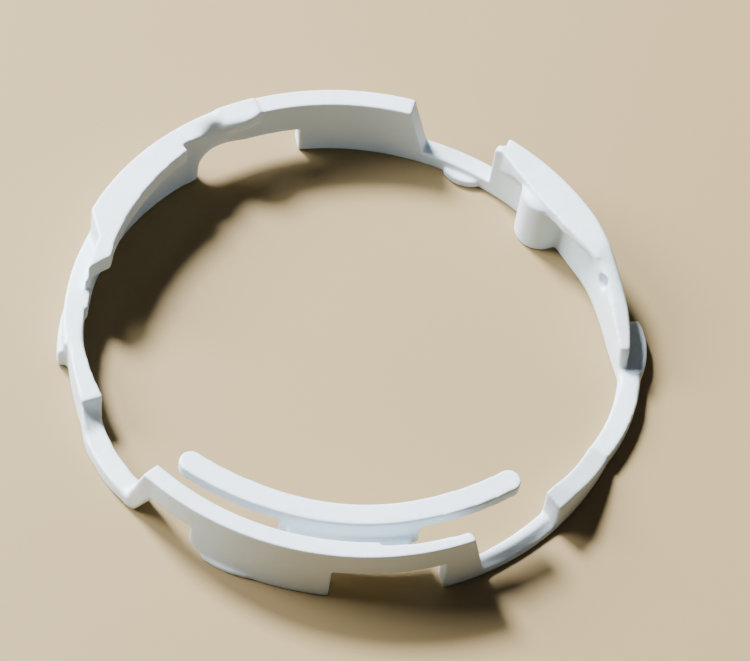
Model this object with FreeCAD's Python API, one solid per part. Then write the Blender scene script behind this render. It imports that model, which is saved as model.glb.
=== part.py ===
"""Slotted snap ring: one white moulding, written as one closed solid for each functional section.

Millimetres. +Z is up, and the origin is on the ring's axis in the plane that it rests on.
Azimuths are degrees about +Z from +X, so 90 is the back (+Y), 180 the left and 270 the front.
Neighbouring sections meet face to face. The two free ends of the inner snap rail flex, so each
is a body of its own that turns about a round root with running clearance.
"""

import FreeCAD
import Part

import math
import os

# The ring
OUTER_R = 14.0                # outside of the tall walls
INNER_R = 13.0                # inside of the thin walls
RING_H = 3.6                  # height of the tall walls
RIM_R = (OUTER_R + INNER_R) / 2

# Walls
LIP_IN_R = 12.2               # inside of the two thick lips
NECK_IN_R = 12.85
FRONT_IN_R = 13.1             # inside of the front wall
LIP_DEPTH = 1.05              # depth of the stop wall's lip
TAB_PROUD = 0.12              # how far the grip tab stands above the ring
WINDOW_H = 1.65               # clear height of the back window, open at the bottom
FRONT_WINDOW_H = 2.1          # clear height of the front window and under the overhang

# Low bands
LEFT_BAND_H = 1.9
SADDLE_OUT_H = 1.75           # heights of the saddle beside the left band, outside and inside
SADDLE_IN_H = 0.75
LANDING_H = 0.85
FRONT_BAND_H = 0.6
REBATE_H = 0.35               # how far the front wall's inner edge drops at its right end
CAM_H = 2.3
RIGHT_BAND_H = 0.85
BACK_BAND_H = 0.8
LUG_H = 0.8

# Snap rail
RAIL_IN_R = 11.05
RAIL_OUT_R = 12.2
RAIL_R = (RAIL_IN_R + RAIL_OUT_R) / 2
RAIL_HALF = (RAIL_OUT_R - RAIL_IN_R) / 2
ARM_H = 0.7                   # depth of the flexing arms
HUB_H = 2.0                   # depth of the rail's fixed middle
WEB_BOTTOM = 1.6
WEB_TOP = 2.6
ROOT_A = (262.0, 294.0)       # azimuths of the two flexing roots
TIP_A = (238.5, 317.0)        # azimuths of the centres of the two round tips
TIP_SPREAD = 0.25             # how far the tips stand outside the rail's own circle
ROOT_CLEARANCE = 0.03

# Boss and pocket
BOSS_R = 1.25
BOSS_A = 48.7
DOME_R = 1.9                  # radius of the boss's domed top, which touches the ring's height
POCKET_R = 0.42

UP = FreeCAD.Vector(0, 0, 1)
FAR = 40.0                    # larger than any section, for cutting blocks


def at(radius, azimuth, z=0.0):
    """The point at a radius, an azimuth in degrees and a height."""
    a = math.radians(azimuth)
    return FreeCAD.Vector(radius * math.cos(a), radius * math.sin(a), z)


def three(value):
    """One radius for a whole arc, or the radii at its start, middle and end."""
    return value if isinstance(value, tuple) else (value, value, value)


def sector(inner, outer, start, end, bottom, top):
    """A piece of the ring between two azimuths and two heights."""
    middle = (start + end) / 2
    i0, i1, i2 = three(inner)
    o0, o1, o2 = three(outer)
    edges = [
        Part.Arc(at(o0, start, bottom), at(o1, middle, bottom), at(o2, end, bottom)).toShape(),
        Part.LineSegment(at(o2, end, bottom), at(i2, end, bottom)).toShape(),
        Part.Arc(at(i2, end, bottom), at(i1, middle, bottom), at(i0, start, bottom)).toShape(),
        Part.LineSegment(at(i0, start, bottom), at(o0, start, bottom)).toShape(),
    ]
    return Part.Face(Part.Wire(edges)).extrude(UP * (top - bottom))


def beyond(a, b, c, inside):
    """A block on the side of the plane through three points where a fourth point lies."""
    normal = (b - a).cross(c - a)
    if normal.dot(inside - a) < 0:
        normal = -normal
    block = Part.makeBox(FAR, FAR, FAR, FreeCAD.Vector(-FAR / 2, -FAR / 2, 0))
    block.Placement = FreeCAD.Placement(a, FreeCAD.Rotation(UP, normal))
    return block


def slope(start, z_start, end, z_end, tilt=0.0, side=1):
    """Everything above (side 1) or below (side -1) a plane through two heights on the rim.

    tilt is how far the plane falls for each millimetre outward.
    """
    low = at(RIM_R, start, z_start)
    high = at(RIM_R, end, z_end)
    outward = at(1, (start + end) / 2) - UP * tilt
    return beyond(low, high, low + outward, low + UP * side)


def cut_off(r_start, start, r_end, end, past):
    """Everything past an upright plane between two plan points, on the side of an azimuth."""
    first = at(r_start, start)
    return beyond(first, at(r_end, end), first + UP, at(r_start, past))


def post(radius, azimuth, size, bottom, top):
    """An upright cylinder."""
    return Part.makeCylinder(size, top - bottom, at(radius, azimuth, bottom), UP)


def radial_rod(azimuth, z, size, start, end):
    """A level cylinder that points outward, between two radii."""
    return Part.makeCylinder(size, end - start, at(start, azimuth, z), at(1, azimuth))


def profile(azimuth, inner, outer, inner_z, outer_z):
    """A radial cross-section from the ground up to a top that runs from one height to another."""
    corners = [
        at(inner, azimuth), at(outer, azimuth), at(outer, azimuth, outer_z), at(inner, azimuth, inner_z),
    ]
    return Part.makePolygon(corners + corners[:1])


def fuse(first, *others):
    for other in others:
        first = first.fuse(other)
    return first.removeSplitter()


def stop_wall():
    """The tall wall at the upper left. Its end slants back from the outside."""
    wall = sector(INNER_R, OUTER_R, 138, 172, 0, RING_H)
    ledge = cut_off(OUTER_R, 165.5, 13.1, 171, 180)
    return wall.cut(ledge.common(sector(12, 15, 160, 175, LEFT_BAND_H, RING_H + 1)))


def stop_lip():
    """The inward lip along the top of the stop wall. It runs past the wall's end."""
    bottom = RING_H - LIP_DEPTH
    along = sector((12.55, 12.32, LIP_IN_R), INNER_R, 139.5, 172, bottom, RING_H)
    past = sector((LIP_IN_R, 12.1, 12.1), 13.05, 172, 181, bottom, RING_H)
    return fuse(along, past).cut(cut_off(12.1, 175.7, 13.0, 180.4, 190))


def left_band():
    """The medium-height band down the left, with a small step on its inner face."""
    band = sector(INNER_R, OUTER_R, 172, 195, 0, LEFT_BAND_H)
    return fuse(band, sector(NECK_IN_R, 13.1, 176, 185.5, LEFT_BAND_H / 2, LEFT_BAND_H))


def lip_bracket():
    """The thin wall that carries the lip's overhanging end on the left band."""
    wall = sector((INNER_R, 12.9, NECK_IN_R), 13.15, 172, 181, LEFT_BAND_H, RING_H - LIP_DEPTH)
    return wall.cut(cut_off(12.1, 175.7, 13.0, 180.4, 190))


def left_shoulder():
    """The band's lower end, set a little inside the ring's circle."""
    return sector((INNER_R, 12.88, 12.7), (13.75, 13.72, 13.82), 195, 209.5, 0, LEFT_BAND_H)


def left_lug():
    """Low lug outside the left band."""
    lug = sector(OUTER_R, (14.05, 14.2, 14.3), 181.5, 195, 0, 1.2)
    return lug.cut(slope(181.5, 0.8, 195, 1.2))


def saddle():
    """The twisted ramp between the left band and the landing, which falls inward at the band."""
    return Part.makeLoft([
        profile(209.5, 12.8, 13.82, SADDLE_IN_H, SADDLE_OUT_H),
        profile(214.5, INNER_R, 14.1, LANDING_H, LANDING_H),
    ], True, True)


def landing():
    """The low, slightly wider band that leads to the front wall."""
    return sector((INNER_R, 13.12, 13.1), (14.1, 14.2, 14.22), 214.5, 228.5, 0, LANDING_H)


def corner_strut():
    """The leaning strut that carries the overhanging end of the front wall."""
    strut = sector((FRONT_IN_R, 13.12, FRONT_IN_R), (14.22, 14.1, OUTER_R), 228.5, 236.5, 0, RING_H)
    strut = strut.cut(slope(229.8, LANDING_H, 234, RING_H))
    step = sector((INNER_R, 13.05, FRONT_IN_R), 14.2, 228.5, 231, 0, LANDING_H)
    return fuse(strut, step).cut(slope(232, 0, 236.4, FRONT_WINDOW_H, side=-1))


def front_overhang():
    """The front wall's left end, which hangs over a gap."""
    return sector(FRONT_IN_R, OUTER_R, 236.5, 245.8, FRONT_WINDOW_H, RING_H)


def front_block():
    """The full-height middle of the front wall, with a bevelled corner and a slight foot."""
    block = sector(FRONT_IN_R, OUTER_R, 245.8, 274.8, 0, RING_H)
    foot = sector(13.8, (OUTER_R, 14.15, OUTER_R), 248, 260, 0, 0.3)
    return fuse(block, foot).cut(slope(245.8, 0.8, 249.5, 0, side=-1))


def front_beam():
    """The front wall over the front window, with a rebate along its inner edge at the right."""
    beam = sector((FRONT_IN_R, 13.15, 13.2), OUTER_R, 274.8, 297.7, FRONT_WINDOW_H, RING_H)
    return beam.cut(sector(12, (13.3, 13.38, 13.45), 284, 297.7, RING_H - REBATE_H, RING_H + 1))


def front_pillar():
    """The front wall's right end, which leans back to the low band."""
    pillar = sector((13.2, 13.25, 13.2), OUTER_R, 297.7, 306, 0, RING_H)
    pillar = pillar.cut(slope(306, FRONT_BAND_H, 302.7, RING_H))
    return pillar.cut(sector(12, (13.45, 13.5, 13.55), 297.7, 306, RING_H - REBATE_H, RING_H + 1))


def front_band():
    """The lowest band, between the front wall and the cam, which falls off outside."""
    band = sector((13.2, 13.1, 13.05), OUTER_R, 306, 324.7, 0, FRONT_BAND_H)
    return band.cut(slope(306, FRONT_BAND_H, 324.7, FRONT_BAND_H, tilt=0.6))


def cam_ramp():
    """A ramp that climbs along the rim and ends in a sudden step."""
    ramp = sector(INNER_R, (OUTER_R, OUTER_R, 14.05), 324.7, 344, 0, CAM_H)
    ramp = ramp.cut(slope(344, RIGHT_BAND_H, 329, 2.0, tilt=0.25))
    return ramp.cut(slope(324.7, 2.05, 329, 2.0, tilt=0.35))


def right_band():
    """The low band at the right, which bows outside the ring's circle."""
    return sector((INNER_R, 13.38, 13.55), (14.05, 14.47, 14.68), 344, 365.6, 0, RIGHT_BAND_H)


def falling_wall():
    """The lower part of the right wall: its top slopes down to a short steep ramp."""
    wall = sector((13.5, 13.05, INNER_R), (13.9, OUTER_R, OUTER_R), 5.6, 30, 0, RING_H)
    wall = wall.cut(slope(7.5, 2.05, 30, RING_H)).cut(slope(5.6, RIGHT_BAND_H, 7.6, 2.1))
    return wall.cut(Part.makeSphere(POCKET_R, at(12.92, 23.3, 2.6)))


def right_lug():
    """Low lug outside the foot of the falling wall."""
    return sector((13.9, 13.97, OUTER_R), (14.76, 15.05, 14.9), 5.6, 18.5, 0, LUG_H)


def right_wall():
    """The tall wall at the right, with a nicked corner at its far end."""
    wall = sector(INNER_R, OUTER_R, 30, 63.2, 0, RING_H)
    nib = sector(INNER_R, 13.65, 63.2, 64.2, 0, RING_H - 0.1)
    nick = sector(13.45, 13.75, 62.7, 65, RING_H - 0.4, RING_H + 1)
    return fuse(wall, nib).cut(nick)


def wall_lip():
    """The inward lip along the top of the right wall, faired into the wall past the boss."""
    lip = sector((12.97, LIP_IN_R, 12.93), INNER_R, 27, 61.5, RING_H - ARM_H, RING_H)
    faired = sector((12.5, 12.7, 12.93), INNER_R, 54.5, 61.5, 2.0, RING_H - ARM_H)
    return fuse(lip, faired.cut(slope(54.5, 0.9, 61.5, 0.9, tilt=2.4, side=-1)))


def locating_boss():
    """Round boss of the ring's height, with a domed top that looks out past the lip over it."""
    boss = post(INNER_R, BOSS_A, BOSS_R, 0, RING_H)
    dome = Part.makeSphere(DOME_R, at(INNER_R, BOSS_A, RING_H - DOME_R))
    inside = post(0, 0, INNER_R, -1, RING_H + 1)
    low = post(INNER_R, BOSS_A, BOSS_R, 0, RING_H - DOME_R)
    return fuse(boss.common(dome), low).common(inside).cut(wall_lip())


def back_band():
    """The low band between the back wall and the right wall."""
    band = sector(INNER_R, OUTER_R, 63.2, 81, 0, BACK_BAND_H)
    return band.cut(sector(12, 13.65, 62, 64.2, -1, BACK_BAND_H + 1))


def gate_stub():
    """The broken-off moulding gate on the inside of the back band."""
    return sector((12.85, 12.5, 12.8), INNER_R, 66.8, 75, 0, 0.45)


def back_wall():
    """The thin back wall, which leans at its right end."""
    wall = sector(INNER_R, OUTER_R, 81, 109.3, 0, RING_H)
    return wall.cut(slope(81, BACK_BAND_H, 84.9, RING_H))


def window_beam():
    """The thin wall over the back window."""
    return sector(INNER_R, OUTER_R, 109.3, 119.3, WINDOW_H, RING_H)


def grip_tab():
    """The rounded, slightly raised tab over the back window."""
    beam = sector(INNER_R, OUTER_R, 119.3, 128.3, WINDOW_H, RING_H)
    cap = sector((12.95, 12.65, 12.9), OUTER_R, 119.3, 128.3, RING_H - ARM_H, RING_H + TAB_PROUD)
    return fuse(beam, cap)


def scallop():
    """The beam beside the tab: its inner half slopes down, and its underside is rounded."""
    beam = sector((INNER_R, 12.95, NECK_IN_R), OUTER_R, 128.3, 134, 1.0, RING_H)
    beam = beam.cut(sector(12, 15, 128, 131.3, 0, WINDOW_H))
    beam = beam.cut(radial_rod(131.3, 1.0, WINDOW_H - 1.0, 12, 15))
    dip = slope(134, RING_H, 128.3, 2.85).common(sector(12, 13.35, 128, 134, 0, RING_H + 1))
    return beam.cut(dip)


def neck():
    """The short full-height wall between the stop wall and the window."""
    return sector((NECK_IN_R, 12.9, INNER_R), OUTER_R, 134, 138, 0, RING_H)


def rail_hub():
    """The fixed middle of the snap rail, with a round socket at each end."""
    hub = sector(RAIL_IN_R, RAIL_OUT_R, *ROOT_A, RING_H - HUB_H, RING_H)
    for azimuth in ROOT_A:
        hub = hub.cut(post(RAIL_R, azimuth, RAIL_HALF + ROOT_CLEARANCE, 0, RING_H + 1))
    return hub


def rail_web():
    """The floor that joins the rail to the front wall."""
    return sector(RAIL_OUT_R, FRONT_IN_R, 264.5, 291.5, WEB_BOTTOM, WEB_TOP)


def rail_arm(root, tip):
    """A flexing arm of the rail: a round root, a curved bar and a round tip."""
    middle = TIP_SPREAD * 0.3
    bottom = RING_H - ARM_H
    inner = (RAIL_IN_R, RAIL_IN_R + middle, RAIL_IN_R + TIP_SPREAD)
    outer = (RAIL_OUT_R, RAIL_OUT_R + middle, RAIL_OUT_R + TIP_SPREAD)
    bar = sector(inner, outer, root, tip, bottom, RING_H)
    root_disc = post(RAIL_R, root, RAIL_HALF, bottom, RING_H)
    tip_disc = post(RAIL_R + TIP_SPREAD, tip, RAIL_HALF, bottom, RING_H)
    return fuse(bar, root_disc, tip_disc)


def rail_arm_left():
    return rail_arm(ROOT_A[0], TIP_A[0])


def rail_arm_right():
    return rail_arm(ROOT_A[1], TIP_A[1])


SECTIONS = [
    stop_wall, stop_lip, lip_bracket, left_band, left_shoulder, left_lug, saddle, landing,
    corner_strut, front_overhang, front_block, front_beam, front_pillar, front_band, cam_ramp,
    right_band, falling_wall, right_lug, right_wall, wall_lip, locating_boss, back_band,
    gate_stub, back_wall, window_beam, grip_tab, scallop, neck,
    rail_hub, rail_web, rail_arm_left, rail_arm_right,
]

os.makedirs("parts", exist_ok=True)
for section in SECTIONS:
    shape = section()
    name = section.__name__
    print(f"{name}: {len(shape.Solids)} solid, valid {shape.isValid()}, {shape.Volume:.3f} mm3")
    shape.exportStep(f"parts/{name}.step")
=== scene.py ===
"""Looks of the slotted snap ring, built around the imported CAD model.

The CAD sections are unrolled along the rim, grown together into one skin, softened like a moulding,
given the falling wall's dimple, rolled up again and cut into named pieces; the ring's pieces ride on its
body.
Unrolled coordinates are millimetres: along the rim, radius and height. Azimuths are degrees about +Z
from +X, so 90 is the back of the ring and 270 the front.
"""

import math

import bmesh
import bpy
import numpy as np
from mathutils import Matrix, Vector


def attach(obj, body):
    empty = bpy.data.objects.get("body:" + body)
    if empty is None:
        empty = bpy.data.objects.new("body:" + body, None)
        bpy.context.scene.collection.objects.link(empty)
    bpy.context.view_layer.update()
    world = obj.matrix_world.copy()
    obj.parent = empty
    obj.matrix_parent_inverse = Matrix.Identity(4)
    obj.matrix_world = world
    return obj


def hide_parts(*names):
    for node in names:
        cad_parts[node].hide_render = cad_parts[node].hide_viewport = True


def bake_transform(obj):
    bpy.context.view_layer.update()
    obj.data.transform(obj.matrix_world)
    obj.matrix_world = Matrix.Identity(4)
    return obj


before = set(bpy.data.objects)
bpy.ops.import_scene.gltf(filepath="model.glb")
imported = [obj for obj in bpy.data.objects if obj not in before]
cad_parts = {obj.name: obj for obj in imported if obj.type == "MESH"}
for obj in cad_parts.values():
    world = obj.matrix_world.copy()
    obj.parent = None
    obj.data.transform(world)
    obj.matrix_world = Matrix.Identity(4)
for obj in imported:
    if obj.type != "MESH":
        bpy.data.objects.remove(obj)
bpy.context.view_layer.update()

MM = 0.001
RIM_R = 13.5                   # radius along which the ring is unrolled
RING_H = 3.6
TURN = 2 * math.pi * RIM_R     # length of the unrolled ring
VOXEL = TURN / 1200            # a whole number to the turn, so that its two ends meet
SEAM_A = 95.0                  # where the unrolled ring starts, inside the plain back wall
GROW = 0.012                   # how far each section grows to join its neighbours
SOFTEN = 8                     # rounds of smoothing everywhere
PULL = 0.5                     # how far each round moves a vertex towards its neighbours' middle
WELD = 0.02 * MM               # largest gap that is closed where the two ends of the turn meet

# Corners that are rounder than the rest: azimuth and half width in degrees, the radius that the
# rounding stays inside, further rounds of smoothing
ROUND_CORNERS = [
    (25.0, 13.0, 15.0, 110),   # the upper end of the falling wall, where the right wall's lip begins
    (129.5, 8.0, 13.75, 130),  # the dip beside the grip tab
    (212.0, 5.0, 15.0, 30),    # the saddle
    (229.0, 4.0, 15.0, 30),    # the foot of the corner strut
    (193.5, 5.0, 15.0, 30),    # the end of the left lug
    (3.0, 6.0, 15.0, 30),      # the foot of the falling wall and the end of the right lug
]
LIMIT_FADE = 0.3               # width over which the rounding fades out at its radius limit

DIMPLE = (23.3, 13.05, 2.6)    # azimuth, radius and height of the middle of the dimple
DIMPLE_R, DIMPLE_DEPTH = 0.46, 0.6
DIMPLE_REACH = 0.5             # half of the span of radii that is pressed, which spares the wall's outside

# The snap rail
RAIL_IN_R, RAIL_OUT_R = 11.05, 12.2
RAIL_BOTTOM = 1.6
LEFT_ROOT, RIGHT_ROOT = 262.0, 294.0       # azimuths of the arms' roots
LEFT_TIP, RIGHT_TIP = 238.5, 317.0
PAST_TIP = 5                               # how far past its tips the rail is looked for, in degrees
SOCKET_SPAN = 3.4                          # degrees of the hub that a root's socket takes up
ROOT_CUT = 0.8                             # how far outside its root an arm's piece starts, in degrees
WEB_OUT_R, WEB_IN_R = 12.95, 12.4          # where the web is cut from the wall and from the rail

# Where the rim is cut: each piece runs from its azimuth to the next one's, and stands for its nodes.
RIM_PIECES = [
    ("back_wall_skin", 80.5, ["back_wall"]),
    ("window_beam_skin", 110.2, ["window_beam"]),
    ("grip_tab_skin", 118.8, ["grip_tab"]),
    ("scallop_skin", 127.6, ["scallop"]),
    ("neck_skin", 134.3, ["neck"]),
    ("stop_wall_skin", 138.2, ["stop_wall", "stop_lip"]),
    ("left_band_skin", 172.4, ["left_band", "lip_bracket", "left_lug"]),
    ("left_shoulder_skin", 196.2, ["left_shoulder"]),
    ("saddle_skin", 210.5, ["saddle"]),
    ("landing_skin", 213.6, ["landing"]),
    ("corner_strut_skin", 228.4, ["corner_strut"]),
    ("front_overhang_skin", 237.4, ["front_overhang"]),
    ("front_block_skin", 244.8, ["front_block"]),
    ("front_beam_skin", 275.8, ["front_beam"]),
    ("front_pillar_skin", 296.7, ["front_pillar"]),
    ("front_band_skin", 307.2, ["front_band"]),
    ("cam_ramp_skin", 323.8, ["cam_ramp"]),
    ("right_band_skin", 344.4, ["right_band"]),
    ("falling_wall_skin", 365.2, ["falling_wall", "right_lug"]),
    ("right_wall_skin", 386.5, ["right_wall", "wall_lip", "locating_boss"]),
    ("back_band_skin", 425.4, ["back_band", "gate_stub"]),
]

DARK_TINT, PALE_TINT = (0.58, 0.68, 0.75, 1), (0.65, 0.73, 0.78, 1)     # the plastic's two tints

# Camera: its angles in degrees, its lens and sensor in millimetres
CAMERA_ELEVATION, CAMERA_ROLL = 53.98, 9.88
CAMERA_DISTANCE = 168 * MM
CAMERA_TARGET = Vector((1.23, 1.76, 0)) * MM
LENS, SENSOR_WIDTH = 161.8, 36

# Lamps, all aimed at the origin: name, azimuth, elevation, diameter in metres, power in watts
LAMPS = [
    ("key", 140, 44, 0.13, 14.0),
    ("side", 172, 32, 0.25, 6.3),
]
LAMP_DISTANCE = 0.5
LAMP_COLOUR = (0.93, 0.97, 1.0)
SKY_COLOUR, SKY_STRENGTH = (0.80, 0.88, 1.0, 1), 0.105

FLOOR_HALF = 1.0               # half of the floor's side, in metres
FLOOR_Z = -0.01 * MM           # just clear of the ring's underside
FLOOR_COLOUR = (0.255, 0.177, 0.075, 1)


# --- From the CAD sections to one soft skin ---

def along_rim(azimuth):
    """Distance along the rim, in millimetres, of an azimuth in degrees."""
    return math.radians(azimuth) * RIM_R


def unroll(points, centre):
    """Metres in the row frame to unrolled millimetres, with azimuths near a centre in degrees."""
    azimuth = np.degrees(np.arctan2(points[:, 1], points[:, 0]))
    azimuth = centre + (azimuth - centre + 180) % 360 - 180
    radius = np.hypot(points[:, 0], points[:, 1]) / MM
    return np.column_stack([np.radians(azimuth) * RIM_R, radius, points[:, 2] / MM])


def roll_up(points):
    """Unrolled millimetres back to metres in the row frame."""
    azimuth = points[:, 0] / RIM_R
    radius = points[:, 1] * MM
    return np.column_stack([radius * np.cos(azimuth), radius * np.sin(azimuth), points[:, 2] * MM])


def grown(points, by):
    """The points of a closed solid, moved out from its middle along each axis."""
    low, high = points.min(0), points.max(0)
    middle = (low + high) / 2
    return middle + (points - middle) * (1 + 2 * by / (high - low))


def mean_azimuth(points):
    """The middle azimuth of a section, in degrees from the seam on."""
    direction = points[:, :2].mean(0)
    azimuth = math.degrees(math.atan2(direction[1], direction[0]))
    return SEAM_A + (azimuth - SEAM_A) % 360


def polar_box(start, end, inner, outer, bottom, top):
    """Corners and faces of a block in unrolled coordinates."""
    corners = [
        (along_rim(azimuth), radius, z)
        for azimuth in (start, end) for radius in (inner, outer) for z in (bottom, top)
    ]
    faces = [(0, 1, 3, 2), (4, 6, 7, 5), (0, 4, 5, 1), (2, 3, 7, 6), (0, 2, 6, 4), (1, 5, 7, 3)]
    return np.array(corners), faces


def unrolled_sections():
    """Vertices and faces of every CAD section, unrolled, with the rail's root sockets filled."""
    solids = []
    for name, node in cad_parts.items():
        points = np.array([v.co for v in node.data.vertices], float)
        polygons = [tuple(p.vertices) for p in node.data.polygons]
        centre = mean_azimuth(points)
        solids.append((grown(unroll(points, centre), GROW), polygons))
        if name == "back_wall":            # it lies on the seam, so it is there at both ends
            other = centre + 360 if centre < SEAM_A + 180 else centre - 360
            solids.append((grown(unroll(points, other), GROW), polygons))
    for start, end in ((LEFT_ROOT, LEFT_ROOT + SOCKET_SPAN), (RIGHT_ROOT - SOCKET_SPAN, RIGHT_ROOT)):
        solids.append(polar_box(start, end, RAIL_IN_R, RAIL_OUT_R, RAIL_BOTTOM, RING_H + GROW))
    vertices, faces, count = [], [], 0
    for points, polygons in solids:
        vertices.append(points)
        faces.extend(tuple(i + count for i in p) for p in polygons)
        count += len(points)
    return np.vstack(vertices), faces


def vertices_of(mesh):
    """A mesh's vertices, one to a row."""
    flat = np.zeros(len(mesh.vertices) * 3)
    mesh.vertices.foreach_get("co", flat)
    return flat.reshape(-1, 3)


def normals_of(mesh):
    """The normals of a mesh's vertices, one to a row."""
    flat = np.zeros(len(mesh.vertices) * 3)
    mesh.vertex_normals.foreach_get("vector", flat)
    return flat.reshape(-1, 3)


def quads_of(mesh):
    """A mesh's faces, which all have four corners, one to a row."""
    return np.array([tuple(p.vertices) for p in mesh.polygons])


def voxel_skin(points, faces):
    """One closed skin round everything, as vertices and quads."""
    mesh = bpy.data.meshes.new("unrolled")
    mesh.from_pydata(points.tolist(), [], faces)
    solid = bpy.data.objects.new("unrolled", mesh)
    bpy.context.scene.collection.objects.link(solid)
    remesh = solid.modifiers.new("skin", "REMESH")
    remesh.mode = "VOXEL"
    remesh.voxel_size = VOXEL
    remesh.adaptivity = 0
    skin = bpy.data.meshes.new_from_object(solid.evaluated_get(bpy.context.evaluated_depsgraph_get()))
    points, quads = vertices_of(skin), quads_of(skin)
    bpy.data.objects.remove(solid)
    bpy.data.meshes.remove(mesh)
    bpy.data.meshes.remove(skin)
    return points, quads


def edges_of(quads):
    """Each edge of the quads once, as a pair of vertices."""
    pairs = np.vstack([quads[:, [0, 1]], quads[:, [1, 2]], quads[:, [2, 3]], quads[:, [3, 0]]])
    pairs.sort(axis=1)
    return np.unique(pairs, axis=0)


def neighbour_mean(values, edges):
    """For each vertex, the mean of its neighbours' values."""
    n = len(values)
    total = np.zeros_like(values)
    for column in range(values.shape[1]):
        total[:, column] += np.bincount(edges[:, 0], values[edges[:, 1], column], n)
        total[:, column] += np.bincount(edges[:, 1], values[edges[:, 0], column], n)
    return total / np.bincount(edges.ravel(), minlength=n)[:, None]


def softened(points, edges, rounds, pull):
    """Laplacian smoothing, which rounds edges and keeps flat faces where they are."""
    for _ in range(rounds):
        points = points + pull * (neighbour_mean(points, edges) - points)
    return points


def rounded_corners(points, edges):
    """Smooths on where the moulding's corners are rounder, fading out to both sides."""
    for azimuth, half_width, limit, rounds in ROUND_CORNERS:
        off = points[:, 0] / RIM_R - math.radians(azimuth)
        off = np.abs(np.degrees(np.arctan2(np.sin(off), np.cos(off)))) / half_width
        near = np.cos(np.minimum(off, 1) * math.pi / 2) ** 2
        near *= np.clip((limit - points[:, 1]) / LIMIT_FADE, 0, 1)
        points = softened(points, edges, rounds, PULL * near[:, None])
    return points


def dimpled(points):
    """Presses the dimple into the inside of the falling wall."""
    azimuth, radius, z = DIMPLE
    along = points[:, 0] - along_rim(azimuth)
    along = (along + TURN / 2) % TURN - TURN / 2
    off = np.sqrt(along ** 2 + (points[:, 2] - z) ** 2) / DIMPLE_R
    pressed = DIMPLE_DEPTH * (1 - np.minimum(off, 1) ** 3)
    inside = np.abs(points[:, 1] - radius) < DIMPLE_REACH
    points = points.copy()
    points[:, 1] += np.where(inside, pressed, 0)
    return points


def between_columns(length):
    """The nearest place that falls in the middle between two rows of face centres of the voxel grid."""
    return (round(length / VOXEL - 0.5) + 0.5) * VOXEL


def one_turn(points, quads, middles):
    """The faces of exactly one turn, and where their middles were on the voxel grid."""
    start = between_columns(along_rim(SEAM_A))
    kept = (middles[:, 0] > start) & (middles[:, 0] < start + TURN)
    quads = quads[kept]
    used = np.unique(quads)
    index = np.full(len(points), -1)
    index[used] = np.arange(len(used))
    quads = index[quads][:, ::-1]      # rolling up turns the faces over
    return points[used], quads, middles[kept]


def welded_skin(points, quads):
    """The rolled-up skin as one closed mesh, with the two ends of the turn joined."""
    mesh = bpy.data.meshes.new("skin")
    mesh.from_pydata(roll_up(points).tolist(), [], quads.tolist())
    bm = bmesh.new()
    bm.from_mesh(mesh)
    bmesh.ops.remove_doubles(bm, verts=[v for v in bm.verts if v.is_boundary], dist=WELD)
    open_edges = sum(e.is_boundary for e in bm.edges)
    if open_edges:
        raise RuntimeError(f"the skin's seam has {open_edges} open edges")
    bm.to_mesh(mesh)
    bm.free()
    return mesh


# --- Pieces ---

def piece_of_faces(middles):
    """For each face's middle on the voxel grid, the index of its piece in piece_table()."""
    starts = np.array([between_columns(along_rim(start)) for _, start, _ in RIM_PIECES])
    along = starts[0] + (middles[:, 0] - starts[0]) % TURN
    index = np.searchsorted(starts, along, side="right") - 1
    radius = middles[:, 1]
    left = between_columns(along_rim(LEFT_ROOT - ROOT_CUT))
    right = between_columns(along_rim(RIGHT_ROOT + ROOT_CUT))
    inside = (along > along_rim(LEFT_TIP - PAST_TIP)) & (along < along_rim(RIGHT_TIP + PAST_TIP))
    inside &= radius < between_columns(WEB_OUT_R)
    web = inside & (along > left) & (along < right) & (radius > between_columns(WEB_IN_R))
    rail = inside & ~web
    index[web] = len(RIM_PIECES)
    index[rail] = len(RIM_PIECES) + 1
    index[rail & (along < left)] = len(RIM_PIECES) + 2
    index[rail & (along > right)] = len(RIM_PIECES) + 3
    return index


def piece_table():
    """(name, replaced nodes, body) of every piece, in piece_of_faces's order."""
    table = [(name, nodes, "ring") for name, _, nodes in RIM_PIECES]
    table.append(("rail_web_skin", ["rail_web"], "ring"))
    table.append(("rail_hub_skin", ["rail_hub"], "ring"))
    table.append(("rail_arm_left_skin", ["rail_arm_left"], "left_arm"))
    table.append(("rail_arm_right_skin", ["rail_arm_right"], "right_arm"))
    return table


def chains(steps):
    """Joins directed steps (from, to) into runs of vertices: open ones first, then closed ones."""
    follow = dict(steps)
    heads = [v for v in follow if v not in set(follow.values())]
    runs = []
    while follow:
        v = heads.pop() if heads else next(iter(follow))
        run = [v]
        while v in follow:
            v = follow.pop(v)
            run.append(v)
        runs.append(run[:-1] if run[0] == run[-1] else run)
    return runs


def cut_faces(quads, index):
    """For each piece, the faces that close it where the skin is cut.

    Each cut is shared by two pieces, and one of them has its faces turned over. Every edge of a closed
    skin has two sides, so after sorting they lie next to each other.
    """
    start = quads.ravel()
    end = np.roll(quads, -1, axis=1).ravel()
    owner = np.repeat(index, 4)
    order = np.lexsort((np.maximum(start, end), np.minimum(start, end)))
    one, other = order[::2], order[1::2]
    lower = np.where(owner[one] < owner[other], one, other)
    upper = np.where(owner[one] < owner[other], other, one)
    steps = {}
    for i, j in zip(lower, upper):
        if owner[i] != owner[j]:
            steps.setdefault((owner[i], owner[j]), []).append((start[i], end[i]))
    faces = {piece: [] for piece in set(index)}
    for (low, high), pair_steps in steps.items():
        for run in chains(pair_steps):
            faces[low].append(run[::-1])
            faces[high].append(run)
    return faces


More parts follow.
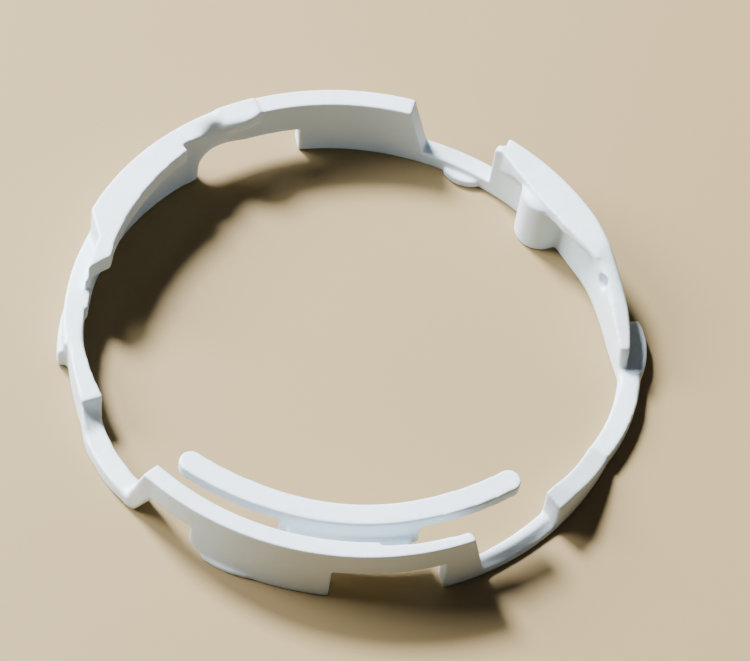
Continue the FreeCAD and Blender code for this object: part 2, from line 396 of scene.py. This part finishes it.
def closed_piece(name, points, normals, quads, caps):
    """A closed mesh of some of the skin's faces, which keeps the whole skin's normals."""
    used, inverse = np.unique(quads, return_inverse=True)
    place = {v: i for i, v in enumerate(used.tolist())}
    faces = inverse.reshape(quads.shape).tolist() + [[place[v] for v in cap] for cap in caps]
    mesh = bpy.data.meshes.new(name)
    mesh.from_pydata(points[used].tolist(), [], faces)
    mesh.shade_smooth()
    corner_normals = []
    for polygon in mesh.polygons:
        if polygon.index < len(quads):
            corner_normals.extend(tuple(normals[used[v]]) for v in polygon.vertices)
        else:
            corner_normals.extend([tuple(polygon.normal)] * len(polygon.vertices))
    mesh.normals_split_custom_set(corner_normals)
    piece = bpy.data.objects.new(name, mesh)
    bpy.context.scene.collection.objects.link(piece)
    return piece


def soft_skin():
    """The whole ring's skin, and where the middles of its faces were on the voxel grid."""
    points, quads = voxel_skin(*unrolled_sections())
    edges = edges_of(quads)
    middles = points[quads].mean(1)
    points = softened(points, edges, SOFTEN, PULL)
    points = dimpled(rounded_corners(points, edges))
    points[:, 2] = np.maximum(points[:, 2], 0)       # flat on the ground
    points, quads, middles = one_turn(points, quads, middles)
    return welded_skin(points, quads), middles


def join_to_body(piece, body):
    """Makes a ring piece ride on the ring's body; an arm's piece only has its placement baked into its
    mesh.
    """
    if body == "left_arm":
        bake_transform(piece)
    elif body == "right_arm":
        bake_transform(piece)
    else:
        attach(piece, body)


def build_pieces(material):
    """Cuts the skin into its pieces, hides the CAD nodes each one replaces and joins the ring's pieces to
    its body.
    """
    skin, middles = soft_skin()
    points, normals, quads = vertices_of(skin), normals_of(skin), quads_of(skin)
    index = piece_of_faces(middles)
    caps = cut_faces(quads, index)
    for i, (name, nodes, body) in enumerate(piece_table()):
        piece = closed_piece(name, points, normals, quads[index == i], caps[i])
        piece.data.materials.append(material)
        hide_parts(*nodes)
        join_to_body(piece, body)
    bpy.data.meshes.remove(skin)


def plastic():
    """Matte white moulded plastic: faint mottling, uneven polish, shallow waves and a fine grain."""
    material = bpy.data.materials.new("white_plastic")
    material.use_nodes = True
    nodes, links = material.node_tree.nodes, material.node_tree.links
    shader = nodes["Principled BSDF"]
    place = nodes.new("ShaderNodeTexCoord")

    def noise(scale, detail, low, high):
        """Noise over the object, stretched to the range from low to high. Its scale is per metre."""
        pattern = nodes.new("ShaderNodeTexNoise")
        pattern.inputs["Scale"].default_value = scale
        pattern.inputs["Detail"].default_value = detail
        links.new(place.outputs["Object"], pattern.inputs["Vector"])
        span = nodes.new("ShaderNodeMapRange")
        span.inputs["From Min"].default_value = 0.3
        span.inputs["From Max"].default_value = 0.7
        span.inputs["To Min"].default_value = low
        span.inputs["To Max"].default_value = high
        links.new(pattern.outputs["Fac"], span.inputs["Value"])
        return span.outputs["Result"]

    def bump(scale, detail, distance):
        """A relief of noise."""
        relief = nodes.new("ShaderNodeBump")
        relief.inputs["Strength"].default_value = 0.25
        relief.inputs["Distance"].default_value = distance
        links.new(noise(scale, detail, low=0, high=1), relief.inputs["Height"])
        return relief

    tint = nodes.new("ShaderNodeMix")
    tint.data_type = "RGBA"
    tint.inputs["A"].default_value = DARK_TINT
    tint.inputs["B"].default_value = PALE_TINT
    links.new(noise(scale=260, detail=3, low=0, high=1), tint.inputs["Factor"])
    links.new(tint.outputs["Result"], shader.inputs["Base Color"])
    links.new(noise(scale=900, detail=4, low=0.36, high=0.52), shader.inputs["Roughness"])
    shader.inputs["IOR"].default_value = 1.49
    waves = bump(scale=1100, detail=2, distance=0.04 * MM)
    grain = bump(scale=9000, detail=3, distance=0.01 * MM)
    links.new(waves.outputs["Normal"], grain.inputs["Normal"])
    links.new(grain.outputs["Normal"], shader.inputs["Normal"])
    return material


# --- Studio ---

def camera():
    """Looks at the ring from the front and above, rolled a little."""
    elevation, roll = math.radians(CAMERA_ELEVATION), math.radians(CAMERA_ROLL)
    data = bpy.data.cameras.new("camera")
    data.sensor_width = SENSOR_WIDTH
    data.lens = LENS
    data.clip_start = 0.001
    data.dof.use_dof = False
    eye = bpy.data.objects.new("camera", data)
    bpy.context.scene.collection.objects.link(eye)
    place = CAMERA_TARGET + CAMERA_DISTANCE * Vector((0, -math.cos(elevation), math.sin(elevation)))
    look = (CAMERA_TARGET - place).normalized()
    level = look.cross(Vector((0, 0, 1))).normalized()
    right = level * math.cos(roll) + level.cross(look) * math.sin(roll)
    up = right.cross(look)
    turn = Matrix((right, up, -look)).transposed()
    eye.matrix_world = Matrix.Translation(place) @ turn.to_4x4()
    bpy.context.scene.camera = eye


def lamp(name, azimuth, elevation, size, power):
    """A round soft lamp aimed at the origin."""
    data = bpy.data.lights.new(name, "AREA")
    data.shape = "DISK"
    data.size = size
    data.energy = power
    data.color = LAMP_COLOUR
    light = bpy.data.objects.new(name, data)
    bpy.context.scene.collection.objects.link(light)
    a, e = math.radians(azimuth), math.radians(elevation)
    way = Vector((math.cos(a) * math.cos(e), math.sin(a) * math.cos(e), math.sin(e)))
    light.location = way * LAMP_DISTANCE
    light.rotation_euler = way.to_track_quat("Z", "Y").to_euler()


def floor():
    """A plain pale floor under the ring."""
    mesh = bpy.data.meshes.new("floor")
    corners = [(-FLOOR_HALF, -FLOOR_HALF), (FLOOR_HALF, -FLOOR_HALF),
               (FLOOR_HALF, FLOOR_HALF), (-FLOOR_HALF, FLOOR_HALF)]
    mesh.from_pydata([(x, y, FLOOR_Z) for x, y in corners], [], [(0, 1, 2, 3)])
    plane = bpy.data.objects.new("floor", mesh)
    bpy.context.scene.collection.objects.link(plane)
    material = bpy.data.materials.new("floor")
    material.use_nodes = True
    shader = material.node_tree.nodes["Principled BSDF"]
    shader.inputs["Base Color"].default_value = FLOOR_COLOUR
    shader.inputs["Roughness"].default_value = 0.7
    mesh.materials.append(material)


def studio():
    """Floor, faint sky and lamps."""
    floor()
    world = bpy.data.worlds.new("world")
    world.use_nodes = True
    sky = world.node_tree.nodes["Background"]
    sky.inputs["Color"].default_value = SKY_COLOUR
    sky.inputs["Strength"].default_value = SKY_STRENGTH
    bpy.context.scene.world = world
    for settings in LAMPS:
        lamp(*settings)


build_pieces(plastic())
camera()
studio()
